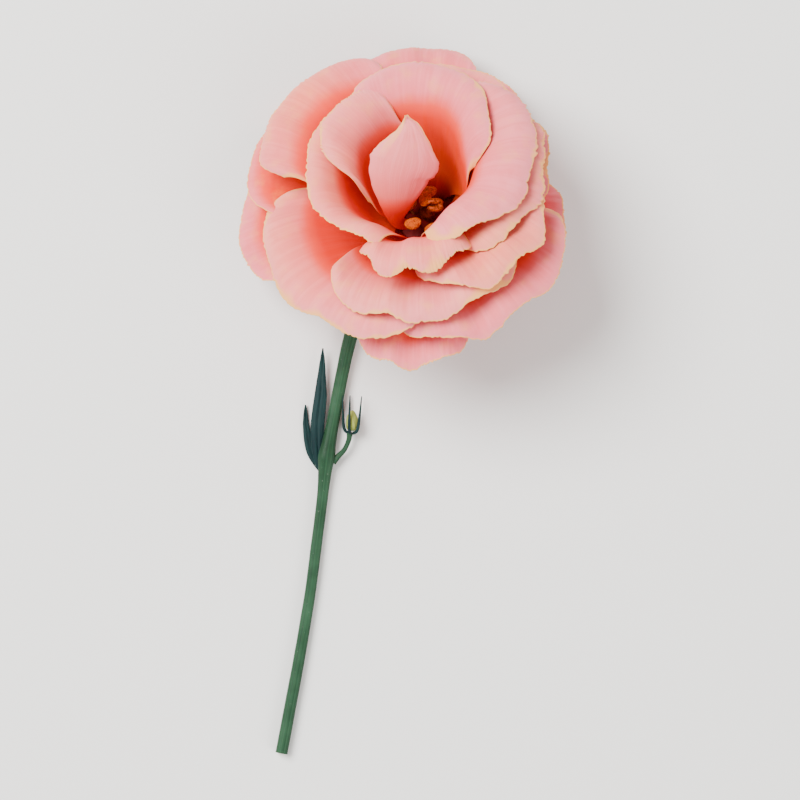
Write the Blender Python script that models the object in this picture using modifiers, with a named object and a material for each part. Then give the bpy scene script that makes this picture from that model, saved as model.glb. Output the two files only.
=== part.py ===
# A double lisianthus bloom on its cut stem, lying on a table with its face up.
#
# The finished model is in metres. Sizes in this file are in millimetres and
# angles in degrees, and mm turns a size into metres.
#
# The petals are pieces of nested bowls round the bloom's axis. A bowl is named by
# its layer, from 0 for the innermost to 1 for the outermost. A higher layer opens
# wider everywhere, so petals whose layers differ never meet.

import math

import bpy
import bmesh
import numpy as np
from mathutils import Matrix, Vector

mm = 0.001
contact_gap = 0.3                       # between pieces that touch on the real flower

# ---- pose of the bloom
bloom_base = (1.2, -1.5, 15.0)          # where the axis leaves the receptacle
lean_back = 25.5                        # the axis leans towards +Y
lean_left = 9.0                         # and a little towards -X

# ---- receptacle, the turned end of the stem that carries every part of the bloom
receptacle_radius = 8.4
dome_height = 1.5
receptacle_depth = 4.6
receptacle_cone = ((0.92, -1.2), (0.6, -3.0))  # share of the radius, and height

# ---- petals
petal_thickness = 0.45
petal_columns = 8
petal_rows = 9
claw_radius = (3.7, 7.9)                # where layer 0 and layer 1 start
claw_slope = (42.0, 82.0)               # angle from the axis at the claw
wall_slope = (4.0, 80.0)                # and halfway up
rim_slope = (92.0, 126.0)               # and at the rim
wall_bias = 1.5                         # inner walls stay steep, outer ones open fast
wall_start = 13.0                       # distances along the petal
rim_start = 19.0
rim_end = 41.0
bowl_steps = 24
skew_azimuth = 122.0                    # the side where the cup stands wider open
skew_slope = 16.0
skew_share = (0.4, 1.0, 0.6)            # of it at the claw, the wall and the rim
skew_fade = 0.75                        # how much less of it the outermost layer has
claw_share = 0.26                       # share of the spread that the claw covers
claw_length = 0.45                      # share of the petal's length where the claw ends
usual_taper = 0.12
taper_start = 0.5
shoulder_power = 2.2                    # higher ones keep the rim straight for longer
curl_power = 2.5
curl_start = 0.6
wave_height = 0.022                     # in layers, at the rim
waves = 1.5                             # from side to side

# azimuth is measured round the axis from +X towards +Y. spread is half of the angle
# that a petal covers. shoulder is how much shorter the petal is at its two sides,
# taper how much narrower it gets towards the rim, and curl how many layers its two
# sides roll outwards.
petals = {
    "petal_cup_left": dict(azimuth=147, spread=52, length=34.6, layer=0.08, shoulder=(0.06, 0.48),
                           taper=0.20, curl=(0.0, 0.08)),
    "petal_cup_back": dict(azimuth=66, spread=74, length=37.3, layer=0.17, shoulder=(0.24, 0.08),
                           curl=(0.10, 0.0)),
    "petal_cup_right": dict(azimuth=349, spread=78, length=39.0, layer=0.34, shoulder=(0.35, 0.12),
                            curl=(0.05, 0.0)),
    "petal_ring_left": dict(azimuth=167, spread=88, length=31.8, layer=0.35, shoulder=(0.10, 0.02)),
    "petal_ring_front": dict(azimuth=268, spread=44, length=35, layer=0.45, shoulder=(0.38, 0.08),
                             curl=(0.0, 0.02)),
    "petal_ring_right": dict(azimuth=348, spread=55, length=36, layer=0.525, shoulder=(0.12, 0.10)),
    "petal_back_left": dict(azimuth=139, spread=39, length=43.6, layer=0.56, shoulder=(0.14, 0.18)),
    "petal_back_right": dict(azimuth=58, spread=52, length=31.6, layer=0.62, shoulder=(0.14, 0.14)),
    "petal_front_right": dict(azimuth=312, spread=52, length=37, layer=0.63, shoulder=(0.38, 0.20)),
    "petal_front_left": dict(azimuth=271, spread=58, length=34.2, layer=0.73, shoulder=(0.26, 0.12)),
    "petal_outer_left": dict(azimuth=147, spread=46, length=40.5, layer=0.88, shoulder=(0.20, 0.30)),
    "petal_outer_right": dict(azimuth=20, spread=48, length=29, layer=0.745, shoulder=(0.20, 0.20)),
    "petal_outer_back": dict(azimuth=100, spread=42, length=38, layer=0.80, shoulder=(0.20, 0.20)),
    "petal_outer_front_right": dict(azimuth=306, spread=52, length=35, layer=0.86, shoulder=(0.12, 0.18)),
    "petal_outer_front_left": dict(azimuth=224, spread=58, length=35.4, layer=0.815, shoulder=(0.22, 0.12)),
    "petal_low_back_right": dict(azimuth=72, spread=34, length=32, layer=1.00, shoulder=(0.22, 0.22)),
    "petal_low_left": dict(azimuth=179, spread=38, length=39, layer=1.01, shoulder=(0.22, 0.34)),
    "petal_low_front": dict(azimuth=265, spread=30, length=33.4, layer=1.01, shoulder=(0.22, 0.22)),
    "petal_low_right": dict(azimuth=340, spread=42, length=26.4, layer=1.02, shoulder=(0.22, 0.22)),
    "petal_low_back_left": dict(azimuth=137, spread=38, length=24.1, layer=1.12, shoulder=(0.22, 0.22)),
}

# the half-petal that arches over the stamens. Each row is a point of its midline,
# half of its width there, and how far its edges fall back.
petaloid_line = (
    (-3.2, -2.6, 2.0, 0.9, 0.1),
    (-5.4, -4.4, 7.0, 1.8, 0.3),
    (-5.0, -3.7, 13.6, 4.1, 0.8),
    (-3.5, -0.4, 19.9, 7.2, 1.6),
    (-1.9, 2.6, 23.5, 8.2, 1.9),
    (-0.9, 5.4, 25.7, 6.2, 1.4),
    (-0.3, 8.8, 27.5, 3.3, 0.7),
    (-0.9, 12.2, 28.7, 0.9, 0.2),
)
petaloid_face = (0.25, -0.50, 0.80)     # the way its outer side looks
petaloid_columns = 6
petaloid_rows = 12

# ---- pistil and stamens
ovary_profile = ((0.0, 9.8), (0.55, 9.6), (0.7, 6.6), (1.6, 4.4), (1.9, 2.0), (1.2, 0.5), (0.0, 0.0))
pistil_lean = (16.5, 18.5)              # about X and about Y
stigma_size = (3.0, 1.9, 1.5)
anther_size = (3.6, 2.1, 1.7)
filament_radius = 0.32
filament_foot = 2.9                     # distance from the axis
filament_bow = 0.5                      # how far its middle bends outwards
# azimuth, distance from the axis and height of each anther, the way it points, and the
# azimuth of its filament's foot
stamens = (
    dict(azimuth=66, reach=3.4, height=7.2, heading=0, foot=48),
    dict(azimuth=17, reach=0.9, height=9.2, heading=85, foot=112),
    dict(azimuth=246, reach=5.75, height=7.4, heading=10, foot=236),
    dict(azimuth=290, reach=6.0, height=4.8, heading=20, foot=296),
    dict(azimuth=160, reach=3.3, height=5.8, heading=70, foot=172),
)

# ---- calyx
sepal_width = 3.4
sepal_tip_width = 0.24
sepal_point = 0.8                       # below 1 the sides bulge, above it they sweep in
sepal_thickness = 0.5
sepal_foot = (7.6, -1.85)               # distance from the axis and height
sepal_rows = 8
sepal_columns = 2
# azimuth, length and the angle from the axis at the foot, halfway and at the tip. The
# first is bent back on to the table, where its tip holds up the bloom's right side.
sepals = (
    dict(azimuth=18, length=20.0, bend=(118, 152, 112)),
    dict(azimuth=90, length=16.0, bend=(98, 87, 76)),
    dict(azimuth=162, length=16.0, bend=(98, 87, 76)),
    dict(azimuth=234, length=16.0, bend=(98, 87, 76)),
    dict(azimuth=306, length=16.0, bend=(98, 87, 76)),
)

# ---- stem, in the table's frame: points of its middle line and its radius there
stem_line = (
    (2.2, -5.0, 7.8, 1.75),
    (1.0, -7.4, 5.2, 1.75),
    (-2.4, -10.8, 3.1, 1.75),
    (-7.2, -14.8, 2.1, 1.75),
    (-12.0, -19.6, 1.75, 1.75),
    (-15.6, -25.0, 1.75, 1.75),
    (-17.5, -31.0, 1.7, 1.7),
    (-19.1, -38.3, 1.6, 1.6),
    (-21.3, -49.6, 1.6, 1.6),
    (-22.4, -55.4, 1.8, 1.8),
    (-22.9, -58.5, 2.1, 2.1),
    (-23.3, -62.0, 1.7, 1.7),
    (-24.0, -69.0, 1.4, 1.4),
    (-25.4, -80.0, 1.4, 1.4),
    (-26.9, -91.5, 1.4, 1.4),
    (-29.4, -106.5, 1.45, 1.45),
    (-31.5, -117.8, 1.5, 1.5),
    (-33.8, -130.0, 1.5, 1.5),
)
stem_points = 46

# ---- bracts and bud at the stem's node
bract_thickness = 0.5
# each row is a point of the middle line and half of the width there
long_bract = (
    (-26.4, -58.6, 1.9, 1.1),
    (-27.2, -52.0, 2.5, 2.1),
    (-26.6, -44.0, 2.9, 1.7),
    (-25.0, -32.4, 2.2, 0.25),
)
short_bract = (
    (-25.6, -60.2, 1.0, 0.9),
    (-28.2, -56.0, 0.9, 1.3),
    (-29.2, -51.0, 0.7, 0.9),
    (-29.0, -46.0, 0.6, 0.25),
)
bract_fall = 0.25                       # how far the edges fall, as a share of the width
bud_stalk_line = (
    (-20.0, -58.6, 2.1, 0.7),
    (-18.6, -56.8, 2.3, 0.6),
    (-17.6, -54.6, 2.6, 0.6),
    (-17.3, -52.8, 2.75, 0.75),
)
bud_base = (-16.9, -52.3, 2.75)
bud_heading = (0.05, 1.0, 0.06)
bud_profile = ((0.0, 5.0), (0.5, 4.7), (1.25, 3.4), (1.5, 1.6), (1.0, 0.3), (0.0, 0.0))
bud_sepal_turn = 54.0
# distance from the bud's axis, height and radius, from the foot to the tip
bud_sepal_line = ((1.45, -0.2, 0.38), (2.1, 1.9, 0.34), (2.5, 8.4, 0.11))

colours = {
    "petal": (0.86, 0.45, 0.42),
    "ovary": (0.42, 0.52, 0.22),
    "stigma": (0.80, 0.36, 0.22),
    "filament": (0.80, 0.62, 0.40),
    "anther": (0.86, 0.48, 0.06),
    "calyx": (0.16, 0.30, 0.14),
    "stem": (0.14, 0.26, 0.17),
    "bract": (0.06, 0.12, 0.12),
    "bud": (0.38, 0.40, 0.12),
}


def smooth(t):
    t = np.clip(t, 0.0, 1.0)
    return t * t * (3.0 - 2.0 * t)


def between(pair, share):
    return pair[0] + (pair[1] - pair[0]) * share


def through(rows, count):
    # a smooth curve through rows of numbers, read at even steps
    rows = np.array(rows, dtype=float)
    padded = np.vstack((2 * rows[0] - rows[1], rows, 2 * rows[-1] - rows[-2]))
    points = []
    for place in np.linspace(0.0, len(rows) - 1.0, count):
        i = min(int(place), len(rows) - 2)
        t = place - i
        a, b, c, d = padded[i : i + 4]
        linear = (c - a) * t
        square = (2 * a - 5 * b + 4 * c - d) * t**2
        cube = (3 * b - a - 3 * c + d) * t**3
        points.append(b + 0.5 * (linear + square + cube))
    return np.array(points)


# ---- the nested bowls

def dome(radius):
    # height of the receptacle's top
    return dome_height * (1.0 - (radius / receptacle_radius) ** 2)


def slope(layer, azimuth, along):
    # angle between a bowl's wall and the axis, in radians
    skew = skew_slope * np.cos(np.radians(azimuth - skew_azimuth)) * (1.0 - skew_fade * layer)
    claw = between(claw_slope, layer) + skew_share[0] * skew
    wall = between(wall_slope, layer**wall_bias) + skew_share[1] * skew
    rim = between(rim_slope, layer) + skew_share[2] * skew
    to_wall = smooth(along / wall_start)
    to_rim = smooth((along - rim_start) / (rim_end - rim_start))
    return np.radians(claw + (wall - claw) * to_wall + (rim - wall) * to_rim)


def bowl(layer, azimuth, along):
    # distance from the axis and height of the points at this distance along a bowl
    radius = between(claw_radius, layer)
    height = dome(radius) + contact_gap + 0.5 * petal_thickness
    for i in range(bowl_steps):
        angle = slope(layer, azimuth, along * (i + 0.5) / bowl_steps)
        radius = radius + np.sin(angle) * along / bowl_steps
        height = height + np.cos(angle) * along / bowl_steps
    return radius, height


def petal_sheet(spec):
    # u runs from one side of the petal to the other, v from its claw to its rim
    u, v = np.meshgrid(np.linspace(-1.0, 1.0, petal_columns + 1), np.linspace(0.0, 1.0, petal_rows + 1))
    taper = spec.get("taper", usual_taper) * smooth((v - taper_start) / (1.0 - taper_start))
    width = between((claw_share, 1.0), smooth(v / claw_length)) - taper
    azimuth = spec["azimuth"] + spec["spread"] * width * u
    shoulder = np.where(u < 0.0, spec["shoulder"][0], spec["shoulder"][1])
    along = spec["length"] * v * (1.0 - shoulder * np.abs(u) ** shoulder_power)
    curl = spec.get("curl", (0.0, 0.0))
    roll = np.where(u < 0.0, curl[0], curl[1]) * np.abs(u) ** curl_power * smooth(v / curl_start)
    wave = wave_height * v**2 * np.sin(2.0 * math.pi * waves * u + spec["azimuth"])
    radius, height = bowl(spec["layer"] + roll + wave, azimuth, along)
    angle = np.radians(azimuth)
    return np.stack((radius * np.cos(angle), radius * np.sin(angle), height), axis=-1)


def strap_sheet(line, face, columns, rows):
    # a leaf-like sheet along a midline: x, y, z, half of its width, fall of its edges
    line = through(line, rows + 1)
    middle = line[:, :3]
    along = np.gradient(middle, axis=0)
    along = along / np.linalg.norm(along, axis=1)[:, None]
    side = np.cross(along, np.array(Vector(face).normalized()))
    side = side / np.linalg.norm(side, axis=1)[:, None]
    out = np.cross(side, along)
    u = np.linspace(-1.0, 1.0, columns + 1)[None, :, None]
    width = line[:, 3][:, None, None]
    fall = line[:, 4][:, None, None]
    return middle[:, None, :] + side[:, None, :] * width * u - out[:, None, :] * fall * u**2


def sepal_sheet(spec):
    # a pointed strap that leaves the receptacle's side
    points = np.zeros((sepal_rows + 1, sepal_columns + 1, 3))
    radius, height = sepal_foot
    step = spec["length"] / sepal_rows
    bend = through([(angle,) for angle in spec["bend"]], sepal_rows + 1)[:, 0]
    for row in range(sepal_rows + 1):
        left = 1.0 - row / sepal_rows
        width = between((sepal_tip_width, sepal_width), left**sepal_point)
        for column in range(sepal_columns + 1):
            side = column / sepal_columns - 0.5
            angle = math.radians(spec["azimuth"]) + side * width / radius
            points[row, column] = (radius * math.cos(angle), radius * math.sin(angle), height)
        tilt = math.radians(bend[row])
        radius += math.sin(tilt) * step
        height += math.cos(tilt) * step
    return points


# ---- Blender objects

def material(name, roughness=0.55):
    mat = bpy.data.materials.get(name) or bpy.data.materials.new(name)
    mat.use_nodes = True
    shader = mat.node_tree.nodes["Principled BSDF"]
    shader.inputs["Base Color"].default_value = (*colours[name], 1.0)
    shader.inputs["Roughness"].default_value = roughness
    shader.inputs["Metallic"].default_value = 0.0
    mat.diffuse_color = (*colours[name], 1.0)
    return mat


def add_object(name, data, slot, place):
    obj = bpy.data.objects.new(name, data)
    data.materials.append(material(slot))
    bpy.data.collections["lisianthus_flower"].objects.link(obj)
    obj.matrix_world = place
    return obj


def add_sheet(name, points, thickness, slot, place):
    # an open grid of faces that Solidify gives its thickness
    rows, columns = points.shape[:2]
    faces = []
    for row in range(rows - 1):
        for column in range(columns - 1):
            first = row * columns + column
            faces.append((first, first + 1, first + 1 + columns, first + columns))
    mesh = bpy.data.meshes.new(name)
    mesh.from_pydata([tuple(p) for p in points.reshape(-1, 3) * mm], [], faces)
    mesh.shade_smooth()
    obj = add_object(name, mesh, slot, place)
    wall = obj.modifiers.new("Thickness", "SOLIDIFY")
    wall.thickness = thickness * mm
    wall.offset = 0.0
    return obj


def add_turned(name, profile, slot, place, sides=12):
    # a profile of radius and height, from the top down, turned about its own Z axis
    mesh = bpy.data.meshes.new(name)
    points = [(r * mm, 0.0, h * mm) for r, h in profile]
    mesh.from_pydata(points, [(i, i + 1) for i in range(len(points) - 1)], [])
    obj = add_object(name, mesh, slot, place)
    turn = obj.modifiers.new("Turn", "SCREW")
    turn.steps = sides
    turn.render_steps = sides
    turn.use_merge_vertices = True
    turn.merge_threshold = 0.00005
    return obj


def add_tube(name, line, slot, place):
    # a tube through points that each have a radius
    curve = bpy.data.curves.new(name, "CURVE")
    curve.dimensions = "3D"
    curve.bevel_depth = mm
    curve.bevel_resolution = 2
    curve.use_fill_caps = True
    spline = curve.splines.new("POLY")
    spline.points.add(len(line) - 1)
    for point, (x, y, z, radius) in zip(spline.points, line):
        point.co = (x * mm, y * mm, z * mm, 1.0)
        point.radius = radius
    return add_object(name, curve, slot, place)


def add_ellipsoid(name, size, slot, place):
    shape = bmesh.new()
    bmesh.ops.create_uvsphere(shape, u_segments=10, v_segments=7, radius=0.5)
    bmesh.ops.scale(shape, vec=Vector(size) * mm, verts=shape.verts)
    mesh = bpy.data.meshes.new(name)
    shape.to_mesh(mesh)
    shape.free()
    mesh.shade_smooth()
    return add_object(name, mesh, slot, place)


# ---- the flower's parts

def bloom_place():
    # from the bloom's own frame, whose +Z is its axis, to the table's frame
    axis = Vector((-math.tan(math.radians(lean_left)), math.tan(math.radians(lean_back)), 1.0))
    axis.normalize()
    right = (Vector((1.0, 0.0, 0.0)) - axis * axis.x).normalized()
    turn = Matrix((right, axis.cross(right), axis)).transposed().to_4x4()
    return Matrix.Translation(Vector(bloom_base) * mm) @ turn


def make_receptacle(place):
    steps = 5
    top = [(receptacle_radius * i / steps, dome(receptacle_radius * i / steps)) for i in range(steps + 1)]
    neck = stem_line[0][3]
    cone = [(share * receptacle_radius, height) for share, height in receptacle_cone]
    foot = [(neck, -receptacle_depth), (0.0, -receptacle_depth)]
    add_turned("receptacle", [*top, *cone, *foot], "calyx", place, sides=20)


def make_petals(place):
    for name, spec in petals.items():
        add_sheet(name, petal_sheet(spec), petal_thickness, "petal", place)
    sheet = strap_sheet(petaloid_line, petaloid_face, petaloid_columns, petaloid_rows)
    add_sheet("petaloid", sheet, petal_thickness, "petal", place)


def make_pistil(place):
    foot = Matrix.Translation((0.0, 0.0, (dome_height + contact_gap) * mm))
    own = place @ foot
    for angle, axis in zip(pistil_lean, "XY"):
        own = own @ Matrix.Rotation(math.radians(angle), 4, axis)
    add_turned("ovary", ovary_profile, "ovary", own)
    tip = ovary_profile[0][1] + contact_gap + 0.5 * stigma_size[2]
    add_ellipsoid("stigma", stigma_size, "stigma", own @ Matrix.Translation((0.0, 0.0, tip * mm)))


def way_to(azimuth):
    angle = math.radians(azimuth)
    return Vector((math.cos(angle), math.sin(angle), 0.0))


def make_stamens(place):
    for number, spec in enumerate(stamens, start=1):
        way = way_to(spec["foot"])
        foot = way * filament_foot + Vector((0.0, 0.0, dome(filament_foot) + contact_gap + filament_radius))
        head = way_to(spec["azimuth"]) * spec["reach"] + Vector((0.0, 0.0, spec["height"]))
        top = head - Vector((0.0, 0.0, 0.5 * anther_size[2] + contact_gap + 0.1))
        middle = foot.lerp(top, 0.5) + way * filament_bow
        line = through([(*p, filament_radius) for p in (foot, middle, top)], 7)
        add_tube(f"filament_{number}", line, "filament", place)
        own = place @ Matrix.Translation(head * mm)
        own = own @ Matrix.Rotation(math.radians(spec["heading"]), 4, "Z")
        add_ellipsoid(f"anther_{number}", anther_size, "anther", own)


def make_calyx(place):
    for number, spec in enumerate(sepals, start=1):
        add_sheet(f"sepal_{number}", sepal_sheet(spec), sepal_thickness, "calyx", place)


def make_stem(place, table):
    neck = place @ Vector((0.0, 0.0, -(receptacle_depth + contact_gap) * mm)) / mm
    line = through([(*neck, stem_line[0][3]), *stem_line], stem_points)
    add_tube("stem", line, "stem", table)


def make_bracts(table):
    up = (0.0, 0.0, 1.0)
    for name, line in (("bract_long", long_bract), ("bract_short", short_bract)):
        rows = [(x, y, z, width, bract_fall * width) for x, y, z, width in line]
        add_sheet(name, strap_sheet(rows, up, 2, 9), bract_thickness, "bract", table)


def make_bud(table):
    add_tube("bud_stalk", through(bud_stalk_line, 7), "stem", table)
    heading = Vector(bud_heading).to_track_quat("Z", "X").to_matrix().to_4x4()
    own = table @ Matrix.Translation(Vector(bud_base) * mm) @ heading
    add_turned("bud", bud_profile, "bud", own, sides=10)
    for number in range(5):
        angle = math.radians(bud_sepal_turn + 72.0 * number)
        rows = [(r * math.cos(angle), r * math.sin(angle), height, w) for r, height, w in bud_sepal_line]
        add_tube(f"bud_sepal_{number + 1}", through(rows, 7), "calyx", own)


def centre_on_table(objects):
    # the middle of the whole piece goes to X = Y = 0, its lowest point to Z = 0
    bpy.context.view_layer.update()
    graph = bpy.context.evaluated_depsgraph_get()
    points = []
    for obj in objects:
        shape = obj.evaluated_get(graph)
        points.extend(obj.matrix_world @ vertex.co for vertex in shape.to_mesh().vertices)
        shape.to_mesh_clear()
    low = np.min(points, axis=0)
    high = np.max(points, axis=0)
    middle = 0.5 * (low + high)
    shift = Matrix.Translation((-middle[0], -middle[1], -low[2]))
    for obj in objects:
        obj.matrix_world = shift @ obj.matrix_world


def build():
    for obj in list(bpy.data.objects):
        bpy.data.objects.remove(obj, do_unlink=True)
    collection = bpy.data.collections.new("lisianthus_flower")
    bpy.context.scene.collection.children.link(collection)
    table = Matrix.Identity(4)
    place = bloom_place()
    make_receptacle(place)
    make_petals(place)
    make_pistil(place)
    make_stamens(place)
    make_calyx(place)
    make_stem(place, table)
    make_bracts(table)
    make_bud(table)
    centre_on_table(list(collection.objects))


build()
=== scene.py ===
import math

import bpy
from mathutils import Matrix, Vector


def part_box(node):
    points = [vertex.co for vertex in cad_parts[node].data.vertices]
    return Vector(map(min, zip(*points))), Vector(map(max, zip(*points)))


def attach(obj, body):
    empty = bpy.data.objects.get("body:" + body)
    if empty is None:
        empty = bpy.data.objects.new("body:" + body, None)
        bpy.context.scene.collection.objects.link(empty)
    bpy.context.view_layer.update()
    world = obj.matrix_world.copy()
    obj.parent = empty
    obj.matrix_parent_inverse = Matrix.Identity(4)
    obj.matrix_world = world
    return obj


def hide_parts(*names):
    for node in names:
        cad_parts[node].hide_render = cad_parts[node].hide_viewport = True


mm = 0.001
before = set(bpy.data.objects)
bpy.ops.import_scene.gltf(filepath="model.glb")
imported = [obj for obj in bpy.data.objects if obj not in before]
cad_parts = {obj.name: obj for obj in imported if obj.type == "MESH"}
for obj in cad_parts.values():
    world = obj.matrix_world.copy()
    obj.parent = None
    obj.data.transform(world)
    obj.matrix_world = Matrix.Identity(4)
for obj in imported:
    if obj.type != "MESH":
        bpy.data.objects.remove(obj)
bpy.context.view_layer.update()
print("frame loaded")


# ---- node trees

def put(tree, socket, value):
    if isinstance(value, Num):
        tree.links.new(value.socket, socket)
    elif isinstance(value, bpy.types.NodeSocket):
        tree.links.new(value, socket)
    else:
        socket.default_value = value


def formula(operation, swap=False):
    # a method that adds one maths node, with the number itself first or last
    def method(self, *others):
        values = (*others, self) if swap else (self, *others)
        return self.math(operation, *values)
    return method


class Num:
    # a number that a tree works out, which formulas can use as they use any other
    def __init__(self, tree, socket):
        self.tree = tree
        self.socket = socket

    def math(self, operation, *values):
        node = self.tree.nodes.new("ShaderNodeMath")
        node.operation = operation
        for socket, value in zip(node.inputs, values):
            put(self.tree, socket, value)
        return Num(self.tree, node.outputs[0])

    __add__ = formula("ADD")
    __radd__ = formula("ADD", swap=True)
    __sub__ = formula("SUBTRACT")
    __rsub__ = formula("SUBTRACT", swap=True)
    __mul__ = formula("MULTIPLY")
    __rmul__ = formula("MULTIPLY", swap=True)
    __truediv__ = formula("DIVIDE")
    __pow__ = formula("POWER")
    __gt__ = formula("GREATER_THAN")
    __abs__ = formula("ABSOLUTE")
    sin = formula("SINE")
    cos = formula("COSINE")
    least = formula("MINIMUM")
    most = formula("MAXIMUM")
    part = formula("FRACT")


class Web:
    # adds nodes to a tree
    def __init__(self, tree):
        self.tree = tree
        tree.nodes.clear()

    def add(self, kind, values=None, settings=None):
        node = self.tree.nodes.new(kind)
        for name, value in (settings or {}).items():
            setattr(node, name, value)
        for name, value in (values or {}).items():
            put(self.tree, node.inputs[name], value)
        return node

    def get(self, kind, values=None, settings=None):
        return self.add(kind, values, settings).outputs[0]

    def num(self, node, output=0):
        return Num(self.tree, node.outputs[output])

    def ease(self, value, low, high):
        # 0 up to low, 1 from high on, and a smooth step between them
        step = self.add("ShaderNodeMapRange", {"Value": value, "From Min": low, "From Max": high},
                        {"interpolation_type": "SMOOTHSTEP"})
        return self.num(step)

    def noise(self, value, scale, detail=2.0, dimensions="3D"):
        # from about -1 to 1, round a mean of 0
        where = "W" if dimensions == "1D" else "Vector"
        node = self.add("ShaderNodeTexNoise", {where: value, "Scale": scale, "Detail": detail},
                        {"noise_dimensions": dimensions})
        return self.num(node) * 2.0 - 1.0

    def vector(self, x, y, z):
        return self.get("ShaderNodeCombineXYZ", {0: x, 1: y, 2: z})

    def split(self, vector):
        node = self.add("ShaderNodeSeparateXYZ", {0: vector})
        return [self.num(node, i) for i in range(3)]

    def combine(self, operation, *values):
        return self.get("ShaderNodeVectorMath", dict(enumerate(values)), {"operation": operation})

    def mix(self, share, low, high):
        node = self.add("ShaderNodeMix", {0: share, 6: low, 7: high}, {"data_type": "RGBA"})
        return node.outputs[2]

    def ramp(self, level, stops):
        node = self.add("ShaderNodeValToRGB", {0: level})
        elements = node.color_ramp.elements
        while len(elements) < len(stops):
            elements.new(1.0)
        for element, (position, colour) in zip(elements, stops):
            element.position = position
            element.color = srgb(colour)
        return node.outputs[0]


def srgb(text):
    # a colour written as six hexadecimal digits, as linear numbers
    parts = [int(text[i : i + 2], 16) / 255.0 for i in (0, 2, 4)]
    return (*[c / 12.92 if c <= 0.04045 else ((c + 0.055) / 1.055) ** 2.4 for c in parts], 1.0)


# ---- finishes

def newMaterial(name, roughness, sockets):
    mat = bpy.data.materials.new(name)
    mat.use_nodes = True
    web = Web(mat.node_tree)
    out = web.add("ShaderNodeOutputMaterial")
    shader = web.add("ShaderNodeBsdfPrincipled", {"Roughness": roughness, **sockets})
    web.tree.links.new(shader.outputs[0], out.inputs[0])
    return mat, web, shader


def tissue(weight, depth, specular):
    # how much light passes into living tissue, how deep in mm, and how much the surface reflects
    return {"Subsurface Weight": weight, "Subsurface Scale": depth * mm, "Specular IOR Level": specular}


def attributes(web, *names):
    # numbers that the geometry trees leave on the pieces
    return [web.num(web.add("ShaderNodeAttribute", settings={"attribute_name": name}), 2) for name in names]


def objectPlace(web):
    return web.add("ShaderNodeTexCoord").outputs["Object"]


def endMaterial(web, shader, sockets, height, strength, depth):
    bump = web.get("ShaderNodeBump", {"Strength": strength, "Distance": depth * mm, "Height": height})
    for name, value in {**sockets, "Normal": bump}.items():
        put(web.tree, shader.inputs[name], value)


petalFinish = {
    # places from the claw, 0, to the rim, 1. The dark maroon at the claw and the deep red low on the petal are
    # partly the petal's own colour and partly painted shade of the throat and of the gaps under the next petals,
    # with a painted red glow of light through the petals
    "pinkStops": ((0.0, "4a0204"), (0.08, "7c1006"), (0.16, "b8400c"), (0.36, "ce3602"), (0.58, "d82c06"),
                  (0.66, "ea4836"), (0.74, "f0727a"), (1.0, "f4848c")),
    "peachStops": ((0.0, "4a0204"), (0.08, "7c0c06"), (0.16, "c4300a"), (0.36, "cc1802"), (0.60, "d81604"),
                   (0.68, "f0442a"), (0.75, "f67660"), (1.0, "fa907c")),
    "outerStops": ((0.0, "b9b56a"), (0.12, "dc7448"), (0.32, "d8302c"), (0.60, "da4058"), (0.85, "e66a78"),
                   (1.0, "ee8884")),
    "cloudScale": 90.0,
    "cloudShare": 0.05,
    "warmScale": 35.0,
    "warmShare": 0.8,
    "blush": "d8403c",
    "veins": (15.0, 0.9),  # how many across and along the petal
    "fineVeins": (46.0, 2.2),
    "veinShare": 0.32,
    "veinMargin": (0.2, 3.5),  # mm from the rim, where they come in
    "outerHalf": (0.62, 0.9),  # where the blotches and the pale rim come in
    "mottleScale": 240.0,
    "paleShare": 0.24,
    "redShare": 0.16,
    "cream": "fcb45c",
    "creamPatches": 2.4,
    "creamRange": (0.14, 0.66),
    "creamWidth": 5.0,  # mm
    "creamShare": 0.8,
    "edge": "fcc488",
    "edgeWidth": 0.5,  # mm
    "edgeShare": 0.03,
    "creamyEdge": 0.7,  # what a cream stretch adds to that share
    "grainScale": 900.0,
    "roughness": 0.5,
    "bump": (0.35, 0.05),  # strength, and depth in mm
    "tissue": (0.22, 1.2, 0.06),
    "glow": (1.0, 0.35, 0.25),  # how far red, green and blue light reach inside
}


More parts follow.
